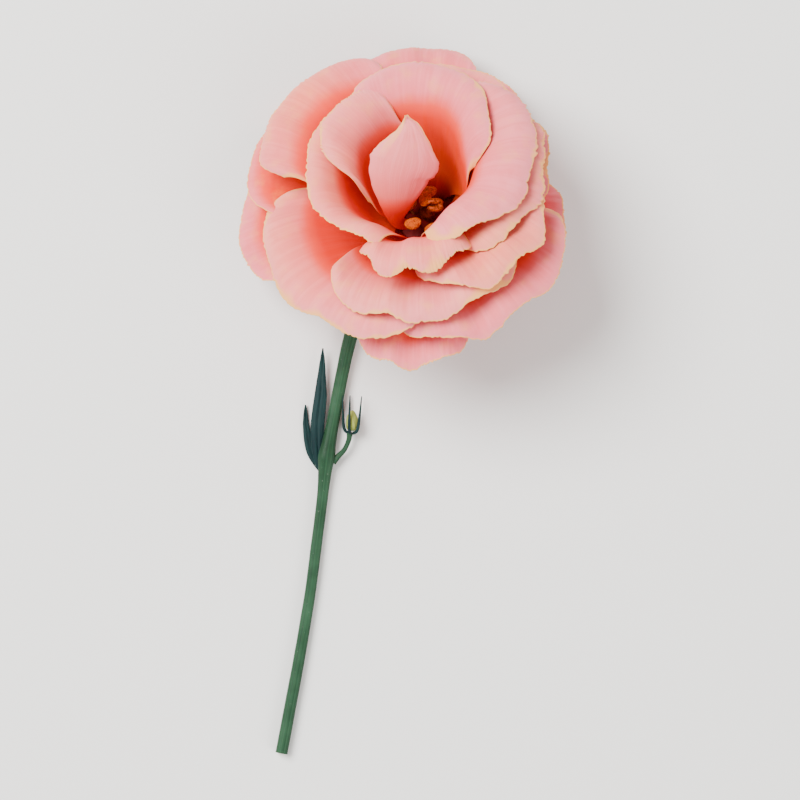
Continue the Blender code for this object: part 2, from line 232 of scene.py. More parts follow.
def petalMaterial():
    it = petalFinish
    sockets = {**tissue(*it["tissue"]), "Subsurface Radius": it["glow"]}
    mat, web, shader = newMaterial("petalSkin", it["roughness"], sockets)
    across, along, margin, side = attributes(web, "across", "along", "margin", "side")
    tone, warm, seed = attributes(web, "tone", "warm", "seed")
    where = objectPlace(web)

    # the colour deepens toward the claw, partly as painted shade and painted glow in the gaps and the throat
    level = along + web.noise(where, it["cloudScale"], 3.0) * it["cloudShare"] + tone
    pink, peach, outer = [web.ramp(level, it[stops]) for stops in ("pinkStops", "peachStops", "outerStops")]
    warmHere = warm + web.noise(where, it["warmScale"], 3.0) * it["warmShare"]
    inner = web.mix(web.ease(warmHere, 0.0, 1.0), pink, peach)
    colour = web.mix(web.ease(side, 0.6, 0.9), inner, outer)

    # veins fan out from the claw and fork on the way
    count, stretch = it["veins"]
    vein = web.noise(web.vector(across * count + seed, along * stretch, seed), 1.0, 4.0)
    count, stretch = it["fineVeins"]
    fine = web.noise(web.vector(across * count, along * stretch, seed), 1.0, 3.0)
    line = web.ease(1.0 - abs(vein) * 3.0, 0.0, 1.0) * 0.6 + web.ease(fine, 0.0, 0.8) * 0.4
    inside = web.ease(margin, *it["veinMargin"])
    colour = web.mix(line * inside * it["veinShare"], colour, srgb(it["blush"]))

    # soft blotches of pale and of red on the outer half
    high = web.ease(along, *it["outerHalf"])
    mottle = web.noise(where, it["mottleScale"], 4.0)
    for spots, share, name in ((mottle, "paleShare", "cream"), (0.0 - mottle, "redShare", "blush")):
        colour = web.mix(web.ease(spots, 0.0, 0.5) * high * it[share], colour, srgb(it[name]))

    # some stretches of the rim fade to cream, and the very edge is paler
    uneven = web.noise(web.vector(across * it["creamPatches"] + seed, seed, along), 1.0, 3.0)
    patch = web.ease(uneven + warm * 0.3, *it["creamRange"])
    fade = 1.0 - web.ease(margin, 0.2, it["creamWidth"] * patch + 0.4)
    colour = web.mix(fade * high * it["creamShare"], colour, srgb(it["cream"]))
    edge = 1.0 - web.ease(margin + uneven * 0.3, 0.0, it["edgeWidth"])
    colour = web.mix(edge * high * (patch * it["creamyEdge"] + it["edgeShare"]), colour, srgb(it["edge"]))

    height = vein * 0.5 + fine * 0.35 + web.noise(where, it["grainScale"], 2.0) * 0.15
    endMaterial(web, shader, {"Base Color": colour}, height, *it["bump"])
    return mat


greenFinish = {
    # light and dark colour, and how finely the skin is lined
    "stemSkin": ("33553c", "152c1c", 6.0),
    "sepalSkin": ("6f9460", "34593a", 10.0),
    "bractSkin": ("1e3836", "08181c", 9.0),
    "budSkin": ("a3a655", "6a7a34", 14.0),
    "cut": "c9d2a0",
    "pith": "e3e6c4",
    "heart": "5c0204",  # upper side of the receptacle, dark maroon: partly its own colour and partly painted shade of the deep throat
    "wax": "c9d8c4",
    "waxScale": 1400.0,
    "waxShare": 0.12,
    "patchScale": 160.0,
    "roughness": 0.5,
    "roughnessRange": 0.12,
    "bump": (0.4, 0.05),
    "tissue": (0.06, 1.0, 0.08),
}


def greenMaterial(name):
    # skin with fine lines along the piece and a pale waxy bloom
    it = greenFinish
    light, dark, stretch = it[name]
    mat, web, shader = newMaterial(name, it["roughness"], tissue(*it["tissue"]))
    across, over, along, cut, heart = attributes(web, "across", "over", "along", "cut", "heart")
    where = objectPlace(web)
    lines = web.noise(web.vector(across * stretch, over * stretch, along * 3.0), 1.0, 4.0)
    patch = web.noise(where, it["patchScale"], 4.0)
    colour = web.mix(web.ease(lines * 0.6 + patch * 0.5, -0.6, 0.6), srgb(dark), srgb(light))
    speck = web.ease(web.noise(where, it["waxScale"], 2.0), 0.35, 0.6)
    # the heart layer is partly painted shade of the deep throat
    layers = ((speck * it["waxShare"], "wax"), (web.ease(cut, 0.1, 0.4), "cut"), (web.ease(cut, 0.6, 0.9), "pith"),
              (heart, "heart"))
    for share, layer in layers:
        colour = web.mix(share, colour, srgb(it[layer]))
    sockets = {"Base Color": colour, "Roughness": it["roughness"] + patch * it["roughnessRange"]}
    endMaterial(web, shader, sockets, lines + speck * 0.2, *it["bump"])
    return mat


heartFinish = {
    # light and dark colour, scale of the speckles and roughness
    "filament": ("8a4a28", "5a2418", 900.0, 0.45),
    "pollen": ("e06800", "b04400", 2500.0, 0.8),
    "antherSkin": ("c05400", "842e00", 1500.0, 0.6),
    "stigma": ("a4400c", "3c0c02", 2000.0, 0.55),
    "ovary": ("64200c", "300604", 700.0, 0.4),
}
heartBump = (0.5, 0.06)
heartTissue = (0.12, 0.6, 0.08)


def heartMaterial(name):
    # speckled soft tissue for the parts in the bloom's heart
    light, dark, grain, roughness = heartFinish[name]
    mat, web, shader = newMaterial(name + "Tissue", roughness, tissue(*heartTissue))
    spots = web.noise(objectPlace(web), grain, 4.0)
    colour = web.mix(web.ease(spots, -0.5, 0.5), srgb(dark), srgb(light))
    sockets = {"Base Color": colour, "Roughness": roughness + spots * 0.1}
    endMaterial(web, shader, sockets, spots, *heartBump)
    return mat


finishes = {
    "petal": petalMaterial(),
    "stem": greenMaterial("stemSkin"),
    "calyx": greenMaterial("sepalSkin"),
    "bract": greenMaterial("bractSkin"),
    "bud": greenMaterial("budSkin"),
    **{name: heartMaterial(name) for name in heartFinish},
}
print("finishes made")


# ---- geometry trees

gridSockets = {"Columns": "Int", "Rows": "Int", "Material": "Material"}


def newTree(name, labels, others, shape=True):
    # a geometry tree with named inputs. It returns the tree, its Web and its inputs
    sockets = {**dict.fromkeys(labels, "Float"), **others}
    if shape:
        sockets = {"Geometry": "Geometry", **sockets}
    tree = bpy.data.node_groups.new(name, "GeometryNodeTree")
    tree.interface.new_socket("Geometry", in_out="OUTPUT", socket_type="NodeSocketGeometry")
    for label, kind in sockets.items():
        tree.interface.new_socket(label, in_out="INPUT", socket_type="NodeSocket" + kind)
    web = Web(tree)
    start = web.add("NodeGroupInput")
    given = {}
    for label, kind in sockets.items():
        socket = start.outputs[label]
        given[label] = Num(tree, socket) if kind in ("Float", "Int") else socket
    return tree, web, given


def endTree(web, geometry, smooth=True):
    geometry = web.get("GeometryNodeRealizeInstances", {"Geometry": geometry})
    if smooth:
        geometry = web.get("GeometryNodeSetShadeSmooth", {"Geometry": geometry})
    put(web.tree, web.add("NodeGroupOutput").inputs[0], geometry)


def store(web, geometry, name, value, domain="POINT"):
    settings = {"data_type": "FLOAT", "domain": domain}
    values = {"Geometry": geometry, "Name": name, "Value": value}
    return web.get("GeometryNodeStoreNamedAttribute", values, settings)


def readBack(web, name):
    return web.num(web.add("GeometryNodeInputNamedAttribute", {"Name": name}, {"data_type": "FLOAT"}))


def position(web):
    return web.get("GeometryNodeInputPosition")


def normal(web):
    return web.get("GeometryNodeInputNormal")


def scaled(web, vector, share):
    return web.get("ShaderNodeVectorMath", {0: vector, "Scale": share}, {"operation": "SCALE"})


def flatGrid(web, given, width):
    # a grid of this width and a length of 1, and the x and y of its points
    values = {"Size X": width, "Size Y": 1.0, "Vertices X": given["Columns"], "Vertices Y": given["Rows"]}
    grid = web.get("GeometryNodeMeshGrid", values)
    return grid, *web.split(position(web))[:2]


rimCrowding = 1.35  # above 1, a sheet's rows stand closer at its rim


def startSheet(web, given):
    # an open sheet whose points run from -1 to 1 across and from 0, the foot, to 1, the rim
    grid, x, y = flatGrid(web, given, 2.0)
    sheet = store(web, grid, "across", x)
    sheet = store(web, sheet, "along", 1.0 - (0.5 - y).most(0.0) ** rimCrowding)
    return sheet, readBack(web, "across"), readBack(web, "along")


def smoothPath(web, geometry):
    # a curve that passes smoothly through its points
    curve = web.get("GeometryNodeCurveSplineType", {"Curve": geometry}, {"spline_type": "CATMULL_ROM"})
    return web.get("GeometryNodeSetSplineResolution", {"Geometry": curve, "Resolution": 16})


def samplePath(web, path, share):
    settings = {"mode": "FACTOR", "data_type": "FLOAT"}
    values = {"Curves": path, "Value": web.get("GeometryNodeInputRadius"), "Factor": share}
    node = web.add("GeometryNodeSampleCurve", values, settings)
    return node.outputs["Position"], node.outputs["Tangent"], web.num(node)


def setMaterial(web, geometry, material):
    return web.get("GeometryNodeSetMaterial", {"Geometry": geometry, "Material": material})


def move(web, geometry, values):
    return web.get("GeometryNodeSetPosition", {"Geometry": geometry, **values})


def join(web, *parts):
    both = web.add("GeometryNodeJoinGeometry")
    for part in parts:
        put(web.tree, both.inputs[0], part)
    return both.outputs[0]


def merge(web, geometry, distance):
    return web.get("GeometryNodeMergeByDistance", {"Geometry": geometry, "Distance": distance * mm})


def wallTree():
    # turns an open sheet into a closed one that thins out at its margin
    tree, web, given = newTree("sheetWall", ("Thickness", "Edge Share", "Edge Width"), {"Material": "Material"})
    inside = web.ease(readBack(web, "margin"), 0.0, given["Edge Width"])
    depth = given["Thickness"] * (given["Edge Share"] + (1.0 - given["Edge Share"]) * inside)
    outward = normal(web)
    sheet = move(web, given["Geometry"], {"Offset": scaled(web, outward, depth * -0.5)})
    front = web.get("GeometryNodeFlipFaces", {"Mesh": store(web, sheet, "side", 0.0, "FACE")})
    values = {"Mesh": sheet, "Offset Scale": depth, "Individual": False, "Offset": outward}
    pull = web.add("GeometryNodeExtrudeMesh", values, {"mode": "FACES"})
    back = store(web, pull.outputs["Mesh"], "side", web.num(pull, "Top") * 0.5 + 0.5, "FACE")
    whole = merge(web, join(web, front, back), 0.0005)
    endTree(web, setMaterial(web, whole, given["Material"]))
    return tree


def endSheet(web, wall, sheet, given, thickness, edgeShare, edgeWidth):
    values = {"Geometry": sheet, "Thickness": thickness * mm, "Edge Share": edgeShare, "Edge Width": edgeWidth,
              "Material": given["Material"]}
    endTree(web, web.get("GeometryNodeGroup", values, {"node_tree": wall}))


def storeLook(web, sheet, given, margin):
    # what a sheet's finish reads from its points
    sheet = store(web, sheet, "margin", margin)
    for label in ("Tone", "Warm", "Seed"):
        sheet = store(web, sheet, label.lower(), given[label])
    return sheet


bowl = {
    "clawRadius": (3.7, 7.9),  # where layer 0 and layer 1 start, in mm
    "clawSlope": (42.0, 82.0),  # angles from the axis
    "wallSlope": (4.0, 80.0),
    "rimSlope": (92.0, 126.0),
    "wallBias": 1.5,
    "wallStart": 13.0,  # distances along the petal
    "rimStart": 19.0,
    "rimEnd": 41.0,
    "skewAzimuth": 122.0,
    "skewSlope": 16.0,
    "skewShare": (0.4, 1.0, 0.6),
    "skewFade": 0.75,
    "domeHeight": 1.5,
    "receptacleRadius": 8.4,
    "gap": 0.3,
    "petalThickness": 0.45,
    "steps": 24,
}
petalShape = {
    "clawShare": 0.38,
    "clawLength": 0.45,
    "taperStart": 0.5,
    "shoulderPower": 2.2,
    "curlPower": 2.5,
    "curlStart": 0.6,
    "tuckPower": 5.0,
    "tuckRange": (0.3, 0.7),
    # counts are across half of the petal, heights are in layers
    "waves": 1.5,
    "waveHeight": 0.022,
    "wavePower": 2.0,
    "ruffles": 4.2,
    "ruffleStart": 0.5,
    "frills": 13.0,
    "frill": 0.007,
    "frillStart": 0.78,
    "pleats": (6.0, 1.5),  # across and along
    "pleat": 0.006,
    "pleatRange": (0.3, 0.6),
    # heights are in shares of the length
    "scallops": 3.0,
    "scallop": 0.016,
    "scallopPower": 3.0,
    "toothCount": 34.0,
    "toothPower": 16.0,
    "cornerPower": 9.0,
    "lipStart": 0.84,
    "thickness": 0.36,  # mm
    "edgeShare": 0.45,
    "edgeWidth": 2.2,
    "columns": 151,
    "rows": 46,
    "seedStep": 3.7,
}


def between(pair, share):
    return pair[0] + (pair[1] - pair[0]) * share


def domeAt(radius):
    # height of the receptacle's top
    return bowl["domeHeight"] * (1.0 - (radius / bowl["receptacleRadius"]) ** 2.0)


def slopeOf(web, layer, turn, along, lip):
    # angle between a bowl's wall and the axis, in radians
    skew = (turn - math.radians(bowl["skewAzimuth"])).cos() * bowl["skewSlope"] * (1.0 - bowl["skewFade"] * layer)
    claw = between(bowl["clawSlope"], layer) + bowl["skewShare"][0] * skew
    wall = between(bowl["wallSlope"], layer.most(0.0) ** bowl["wallBias"]) + bowl["skewShare"][1] * skew
    rim = between(bowl["rimSlope"], layer) + bowl["skewShare"][2] * skew
    toWall = web.ease(along, 0.0, bowl["wallStart"])
    toRim = web.ease(along, bowl["rimStart"], bowl["rimEnd"])
    return (claw + (wall - claw) * toWall + (rim - wall) * toRim + lip) * math.radians(1.0)


def petalTree(wall):
    labels = ("Azimuth", "Spread", "Length", "Layer", "Right Shoulder", "Left Shoulder", "Taper", "Right Curl",
              "Left Curl", "Ruffle", "Teeth", "Lip", "Corner", "Tuck", "Seed", "Tone", "Warm")
    tree, web, given = newTree("petal", labels, gridSockets, shape=False)
    it = petalShape
    sheet, u, v = startSheet(web, given)
    seed = given["Seed"]
    left = u > 0.0

    # outline
    width = between((it["clawShare"], 1.0), web.ease(v, 0.0, it["clawLength"]))
    width = width - given["Taper"] * web.ease(v, it["taperStart"], 1.0)
    turn = (given["Azimuth"] + given["Spread"] * width * u) * math.radians(1.0)
    shoulder = given["Right Shoulder"] + (given["Left Shoulder"] - given["Right Shoulder"]) * left
    along = given["Length"] * v * (1.0 - shoulder * abs(u) ** it["shoulderPower"])
    scallop = web.noise(u * it["scallops"] + seed, 1.0, 0.0, "1D") * it["scallop"] * v ** it["scallopPower"]
    notch = web.noise(u * it["toothCount"] + seed, 1.0, 2.0, "1D") * given["Teeth"] * v ** it["toothPower"]
    along = along * (1.0 + scallop + notch - abs(u) ** it["cornerPower"] * given["Corner"] * v)

    # height of the sheet between its neighbours, in layers
    curl = given["Right Curl"] + (given["Left Curl"] - given["Right Curl"]) * left
    tuck = abs(u) ** it["tuckPower"] * given["Tuck"] * web.ease(v, *it["tuckRange"])
    roll = curl * abs(u) ** it["curlPower"] * web.ease(v, 0.0, it["curlStart"]) + tuck
    swing = (u * (2.0 * math.pi * it["waves"]) + given["Azimuth"]).sin()
    wave = swing * it["waveHeight"] * v ** it["wavePower"]
    ruffles = web.noise(u * it["ruffles"] + seed * 1.7, 1.0, 0.0, "1D")
    ruffle = ruffles * given["Ruffle"] * web.ease(v, it["ruffleStart"], 1.0)
    frills = web.noise(u * it["frills"] + seed * 2.3, 1.0, 0.0, "1D")
    frill = frills * it["frill"] * web.ease(v, it["frillStart"], 1.0)
    across, lengthwise = it["pleats"]
    pleats = web.noise(web.vector(u * across, v * lengthwise, seed), 1.0, 1.0)
    pleat = pleats * it["pleat"] * web.ease(v, *it["pleatRange"])
    layer = given["Layer"] + roll + wave + ruffle + frill + pleat

    # the bowl's section is followed step by step from the claw to this point
    radius = between(bowl["clawRadius"], layer)
    height = domeAt(radius) + (bowl["gap"] + 0.5 * bowl["petalThickness"])
    last = web.add("GeometryNodeRepeatOutput")
    last.repeat_items.clear()
    last.repeat_items.new("FLOAT", "Radius")
    last.repeat_items.new("FLOAT", "Height")
    first = web.add("GeometryNodeRepeatInput")
    first.pair_with_output(last)
    for label, value in (("Iterations", bowl["steps"]), ("Radius", radius), ("Height", height)):
        put(tree, first.inputs[label], value)
    reached = along * ((web.num(first, "Iteration") + 0.5) / bowl["steps"])
    lip = given["Lip"] * web.ease(reached / along.most(0.1) * v, it["lipStart"], 1.0)
    angle = slopeOf(web, layer, turn, reached, lip)
    step = along / bowl["steps"]
    put(tree, last.inputs["Radius"], web.num(first, "Radius") + angle.sin() * step)
    put(tree, last.inputs["Height"], web.num(first, "Height") + angle.cos() * step)
    radius = web.num(last, "Radius")
    height = web.num(last, "Height")

    # distance to the petal's own margin
    aside = (1.0 - abs(u)) * given["Spread"] * width * math.radians(1.0) * radius
    ahead = (1.0 - v) * given["Length"]
    sheet = storeLook(web, sheet, given, ahead.least(aside * 0.7))
    point = web.vector(radius * turn.cos() * mm, radius * turn.sin() * mm, height * mm)
    sheet = move(web, sheet, {"Position": point})
    endSheet(web, wall, sheet, given, it["thickness"], it["edgeShare"], it["edgeWidth"])
    return tree


strapShape = {
    "toothCount": 14.0,
    "crinkles": (2.2, 4.0),  # across and along
    "crinkleRange": (0.2, 0.8),
    "crinkleMiddle": 0.3,  # share that the midrib gets, where the edges get 1.3
    "keelPower": 3.0,
    "tipStart": 0.93,
    "roundTip": 0.6,
}


def strapTree(wall):
    # a leaf-like sheet along a path whose radius is half of the sheet's width
    labels = ("Fall", "Keel", "Crinkle", "Teeth", "Thickness", "Edge Share", "Edge Width", "Seed", "Tone", "Warm")
    tree, web, given = newTree("strap", labels, {"Face": "Vector", **gridSockets})
    it = strapShape
    path = smoothPath(web, given["Geometry"])
    sheet, u, v = startSheet(web, given)
    seed = given["Seed"]
    spot, tangent, half = samplePath(web, path, v)
    side = web.combine("NORMALIZE", web.combine("CROSS_PRODUCT", given["Face"], tangent))
    out = web.combine("CROSS_PRODUCT", tangent, side)
    teeth = web.noise(web.vector(v * it["toothCount"], (u > 0.0) * 5.0, seed), 1.0, 2.0) * given["Teeth"] * v
    half = half * (1.0 + teeth) * (1.0 - web.ease(v, it["tipStart"], 1.0) * it["roundTip"])
    across, along = it["crinkles"]
    crinkles = web.noise(web.vector(u * across, v * along, seed), 1.0, 2.0)
    crinkle = crinkles * given["Crinkle"] * mm * web.ease(v, *it["crinkleRange"])
    keel = (1.0 - abs(u)) ** it["keelPower"] * given["Keel"] * mm
    rise = crinkle * (it["crinkleMiddle"] + abs(u)) + keel - half * given["Fall"] * u**2.0
    length = web.num(web.add("GeometryNodeCurveLength", {0: path}))
    ahead = (1.0 - v) * length / mm
    sheet = storeLook(web, sheet, given, ahead.least((1.0 - abs(u)) * half / mm))
    offset = web.combine("ADD", scaled(web, side, half * u), scaled(web, out, rise))
    sheet = move(web, sheet, {"Position": web.combine("ADD", spot, offset)})
    endSheet(web, wall, sheet, given, given["Thickness"], given["Edge Share"], given["Edge Width"])
    return tree


pithShare = 0.62  # of a cut stem's radius


def tubeTree():
    # a ridged, slightly knobbly tube along a path
    labels = ("Ridges", "Ridge Depth", "Grain", "Grain Depth", "Cut", "Seed")
    tree, web, given = newTree("tube", labels, {"Sides": "Int", "Steps": "Int", "Material": "Material"})
    path = smoothPath(web, given["Geometry"])
    path = web.get("GeometryNodeResampleCurve", {"Curve": path, "Count": given["Steps"]})
    path = store(web, path, "along", web.num(web.add("GeometryNodeSplineParameter")))
    ring = web.get("GeometryNodeCurvePrimitiveCircle", {"Resolution": given["Sides"], "Radius": 1.0})
    angle = web.num(web.add("GeometryNodeSplineParameter")) * (2.0 * math.pi)
    ridge = (angle * given["Ridges"]).cos()
    for name, value in (("across", angle.cos()), ("over", angle.sin()), ("ridge", ridge)):
        ring = store(web, ring, name, value)
    thick = web.get("GeometryNodeInputRadius")
    values = {"Curve": path, "Profile Curve": ring, "Scale": thick, "Fill Caps": True}
    tube = web.get("GeometryNodeCurveToMesh", values)

    # only the end faces have more than four neighbours. They get a ring of wood round the pith
    neighbours = web.num(web.add("GeometryNodeInputMeshFaceNeighbors"))
    tube = store(web, tube, "cut", neighbours > 4.5, "FACE")
    ends = readBack(web, "cut") > 0.5
    values = {"Mesh": tube, "Selection": ends, "Offset Scale": 0.0, "Individual": False}
    inset = web.add("GeometryNodeExtrudeMesh", values, {"mode": "FACES"})
    values = {"Geometry": inset.outputs[0], "Selection": inset.outputs["Top"], "Scale": pithShare}
    tube = web.get("GeometryNodeScaleElements", values, {"domain": "FACE"})
    wood = web.num(inset, "Side") * 0.5
    tube = store(web, tube, "cut", web.num(inset, "Top").most(wood), "FACE")

    where = web.combine("ADD", position(web), web.vector(given["Seed"], 0.0, 0.0))
    grain = web.noise(where, given["Grain"], 3.0)
    rise = (readBack(web, "ridge") * given["Ridge Depth"] + grain * given["Grain Depth"]) * mm
    skin = 1.0 - web.ease(readBack(web, "cut"), 0.0, 0.1)
    tube = move(web, tube, {"Offset": scaled(web, normal(web), rise * skin)})
    tube = web.get("GeometryNodeSetShadeSmooth", {"Geometry": tube})
    flat = {"Geometry": tube, "Selection": readBack(web, "cut") > 0.2, "Shade Smooth": False}
    tube = web.get("GeometryNodeSetShadeSmooth", flat)
    tube = store(web, tube, "cut", readBack(web, "cut") * given["Cut"], "FACE")
    endTree(web, setMaterial(web, tube, given["Material"]), smooth=False)
    return tree


turnedShape = {
    "foldEdge": 0.86,  # where a fold drops to the next one
    "foldMiddle": 0.4,
    "heartRange": (0.45, 0.62),  # from foot to top, where the heart's colour comes in
}


def turnedTree():
    # a profile of radius and height turned about Z, with folds that may wind round it
    labels = ("Folds", "Fold Depth", "Twist", "Heart", "Seed")
    tree, web, given = newTree("turned", labels, gridSockets)
    it = turnedShape
    path = smoothPath(web, given["Geometry"])
    sheet, x, y = flatGrid(web, given, 1.0)
    sheet = store(web, sheet, "round", x + 0.5)
    sheet = store(web, sheet, "along", y + 0.5)
    v = readBack(web, "along")
    angle = readBack(web, "round") * (2.0 * math.pi)
    reach, height = web.split(samplePath(web, path, v)[0])[::2]
    fold = (readBack(web, "round") * given["Folds"] + v * given["Twist"]).part()
    fold = fold - web.ease(fold, it["foldEdge"], 1.0)
    radius = reach.most(0.0) * (1.0 + (fold - it["foldMiddle"]) * given["Fold Depth"])
    sheet = store(web, sheet, "across", angle.cos())
    sheet = store(web, sheet, "over", angle.sin())
    sheet = store(web, sheet, "heart", given["Heart"] * web.ease(v, *it["heartRange"]))
    sheet = move(web, sheet, {"Position": web.vector(radius * angle.cos(), radius * angle.sin(), height)})
    endTree(web, setMaterial(web, merge(web, sheet, 0.002), given["Material"]))
    return tree


antherShape = {
    "segments": 40,
    "rings": 24,
    "grooveWidth": 0.45,
    "bend": 0.22,
    "skinGrain": 1500.0,
    "skinDepth": 0.06,  # mm
    "grainSizes": (0.6, 1.3),
}


def antherTree():
    # two plump lobes with a groove between them, dusted with pollen
    labels = ("Length", "Width", "Height", "Groove", "Pollen", "Grain Radius")
    others = {"Seed": "Int", "Skin": "Material", "Dust": "Material"}
    tree, web, given = newTree("anther", labels, others, shape=False)
    it = antherShape
    values = {"Segments": it["segments"], "Rings": it["rings"], "Radius": 1.0}
    ball = web.get("GeometryNodeMeshUVSphere", values)
    x, y, z = web.split(position(web))
    groove = 1.0 - (1.0 - web.ease(abs(y), 0.0, it["grooveWidth"])) * given["Groove"]
    half = 0.5 * mm
    point = web.vector(x * given["Length"] * half, (y + x**2.0 * it["bend"]) * given["Width"] * half,
                       z * groove * given["Height"] * half)
    body = move(web, ball, {"Position": point})
    grain = web.noise(position(web), it["skinGrain"], 2.0)
    body = move(web, body, {"Offset": scaled(web, normal(web), grain * (it["skinDepth"] * mm))})
    body = setMaterial(web, body, given["Skin"])
    values = {"Mesh": body, "Density": given["Pollen"], "Seed": given["Seed"]}
    dust = web.get("GeometryNodeDistributePointsOnFaces", values)
    bead = web.get("GeometryNodeMeshIcoSphere", {"Radius": given["Grain Radius"] * mm, "Subdivisions": 1})
    sizes = {2: it["grainSizes"][0], 3: it["grainSizes"][1], "Seed": given["Seed"]}
    size = web.add("FunctionNodeRandomValue", sizes, {"data_type": "FLOAT"})
    beads = web.get("GeometryNodeInstanceOnPoints", {"Points": dust, "Instance": bead, "Scale": size.outputs[1]})
    beads = web.get("GeometryNodeRealizeInstances", {0: beads})
    endTree(web, join(web, body, setMaterial(web, beads, given["Dust"])))
    return tree


def pathData(name, rows):
    # a curve through rows of x, y, z and radius, in mm
    curve = bpy.data.curves.new(name, "CURVE")
    curve.dimensions = "3D"
    spline = curve.splines.new("POLY")
    spline.points.add(len(rows) - 1)
    for point, (x, y, z, radius) in zip(spline.points, rows):
        point.co = (x * mm, y * mm, z * mm, 1.0)
        point.radius = radius * mm
    return curve


def addObject(name, data):
    obj = bpy.data.objects.new(name, data)
    bpy.context.scene.collection.objects.link(obj)
    return obj


def grow(name, tree, values, data):
    # runs a tree on a new object and keeps the result as a plain mesh
    obj = addObject(name, data or bpy.data.meshes.new(name))
    modifier = obj.modifiers.new(name, "NODES")
    modifier.node_group = tree
    for item in tree.interface.items_tree:
        if item.in_out == "INPUT" and item.name in values:
            modifier[item.identifier] = values[item.name]
    graph = bpy.context.evaluated_depsgraph_get()
    evaluated = obj.evaluated_get(graph)
    mesh = bpy.data.meshes.new_from_object(evaluated, preserve_all_data_layers=True, depsgraph=graph)
    bpy.data.objects.remove(obj)
    mesh.name = name
    return addObject(name, mesh)


def makePiece(name, tree, values, node, matrix, data=None):
    # grows a piece and puts it in its place, for this node of the frame
    obj = grow(name, tree, values, data)
    obj.data.transform(matrix)
    obj.data.update()
    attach(obj, "root")
    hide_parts(node)


# ---- where the bloom stands

bloom = {
    "leanBack": 25.5,  # degrees
    "leanLeft": 9.0,
    "pistilLean": (16.5, 18.5),
    "ovaryTop": 9.8,  # mm
    "stigmaSize": (3.0, 1.9, 1.5),
    "base": (1.2, -1.5, 15.0),  # the receptacle's base point, in mm, as the stem's points are given
}


def bloomTurn():
    back, left = [math.tan(math.radians(bloom[lean])) for lean in ("leanBack", "leanLeft")]
    axis = Vector((-left, back, 1.0)).normalized()
    right = (Vector((1.0, 0.0, 0.0)) - axis * axis.x).normalized()
    return Matrix((right, axis.cross(right), axis)).transposed().to_4x4()


def middle(node):
    low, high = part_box(node)
    return 0.5 * (low + high)


def pistilTurn():
    turn = Matrix.Translation((0.0, 0.0, (bowl["domeHeight"] + bowl["gap"]) * mm))
    for angle, axis in zip(bloom["pistilLean"], "XY"):
        turn = turn @ Matrix.Rotation(math.radians(angle), 4, axis)
    return turn


stigmaHeight = (bloom["ovaryTop"] + bowl["gap"] + 0.5 * bloom["stigmaSize"][2]) * mm
stigmaPoint = bloomTurn() @ pistilTurn() @ Vector((0.0, 0.0, stigmaHeight))
bloomPlace = Matrix.Translation(middle("stigma") - stigmaPoint) @ bloomTurn()
tablePlace = Matrix.Translation(bloomPlace.translation - Vector(bloom["base"]) * mm)


# ---- petals

usualPetal = {
    "taper": 0.12,
    # in layers, the first one for the right and the left end
    "curl": (0.0, 0.0),
    "tuck": 0.03,
    "ruffle": 0.018,
    # shares of the length
    "teeth": 0.014,
    "corner": 0.16,
    "lip": 28.0,  # how far the rim rolls over, in degrees
    "grow": 0.9,  # mm that the rolled rim adds
    "tone": 0.0,  # pales a petal; below 0 it deepens the red, partly as painted shade where it lies under the next petals
    "warm": 0.5,  # from pink, 0, to peach, 1
}
# azimuth and half of the width in degrees, length in mm, layer, and how much shorter the right and left ends are
petals = {
    "cup_left": (147, 52, 34.6, 0.08, (0.06, 0.48)),
    "cup_back": (66, 74, 37.3, 0.17, (0.24, 0.08)),
    "cup_right": (349, 78, 39.0, 0.34, (0.28, 0.12)),
    "ring_left": (167.2, 91.5, 31.8, 0.35, (0.10, 0.02)),
    "ring_front": (268.4, 40.5, 35.0, 0.45, (0.26, 0.08)),
    "ring_right": (348, 55, 36.0, 0.525, (0.12, 0.10)),
    "back_left": (139, 39, 43.6, 0.56, (0.14, 0.18)),
    "back_right": (58, 52, 31.6, 0.62, (0.14, 0.14)),
    "front_right": (312, 52, 37.0, 0.63, (0.38, 0.20)),
    "front_left": (271, 58, 34.2, 0.73, (0.26, 0.12)),
    "outer_left": (147, 46, 40.2, 0.875, (0.20, 0.30)),
    "outer_right": (20, 48, 29.0, 0.745, (0.20, 0.20)),
    "outer_back": (100, 42, 38.0, 0.80, (0.20, 0.20)),
    "outer_front_right": (306, 52, 35.0, 0.86, (0.12, 0.18)),
    "outer_front_left": (222.5, 60, 35.4, 0.815, (0.18, 0.12)),
    "low_back_right": (72, 34, 32.0, 1.00, (0.22, 0.22)),
    "low_left": (179, 38, 39.0, 1.01, (0.22, 0.34)),
    "low_front": (265, 30, 33.4, 1.01, (0.22, 0.22)),
    "low_right": (340, 42, 26.4, 1.02, (0.22, 0.22)),
    "low_back_left": (137, 38, 23.5, 1.105, (0.22, 0.22)),
}
quietRim = dict(lip=0.0, ruffle=0.0, tuck=0.0)
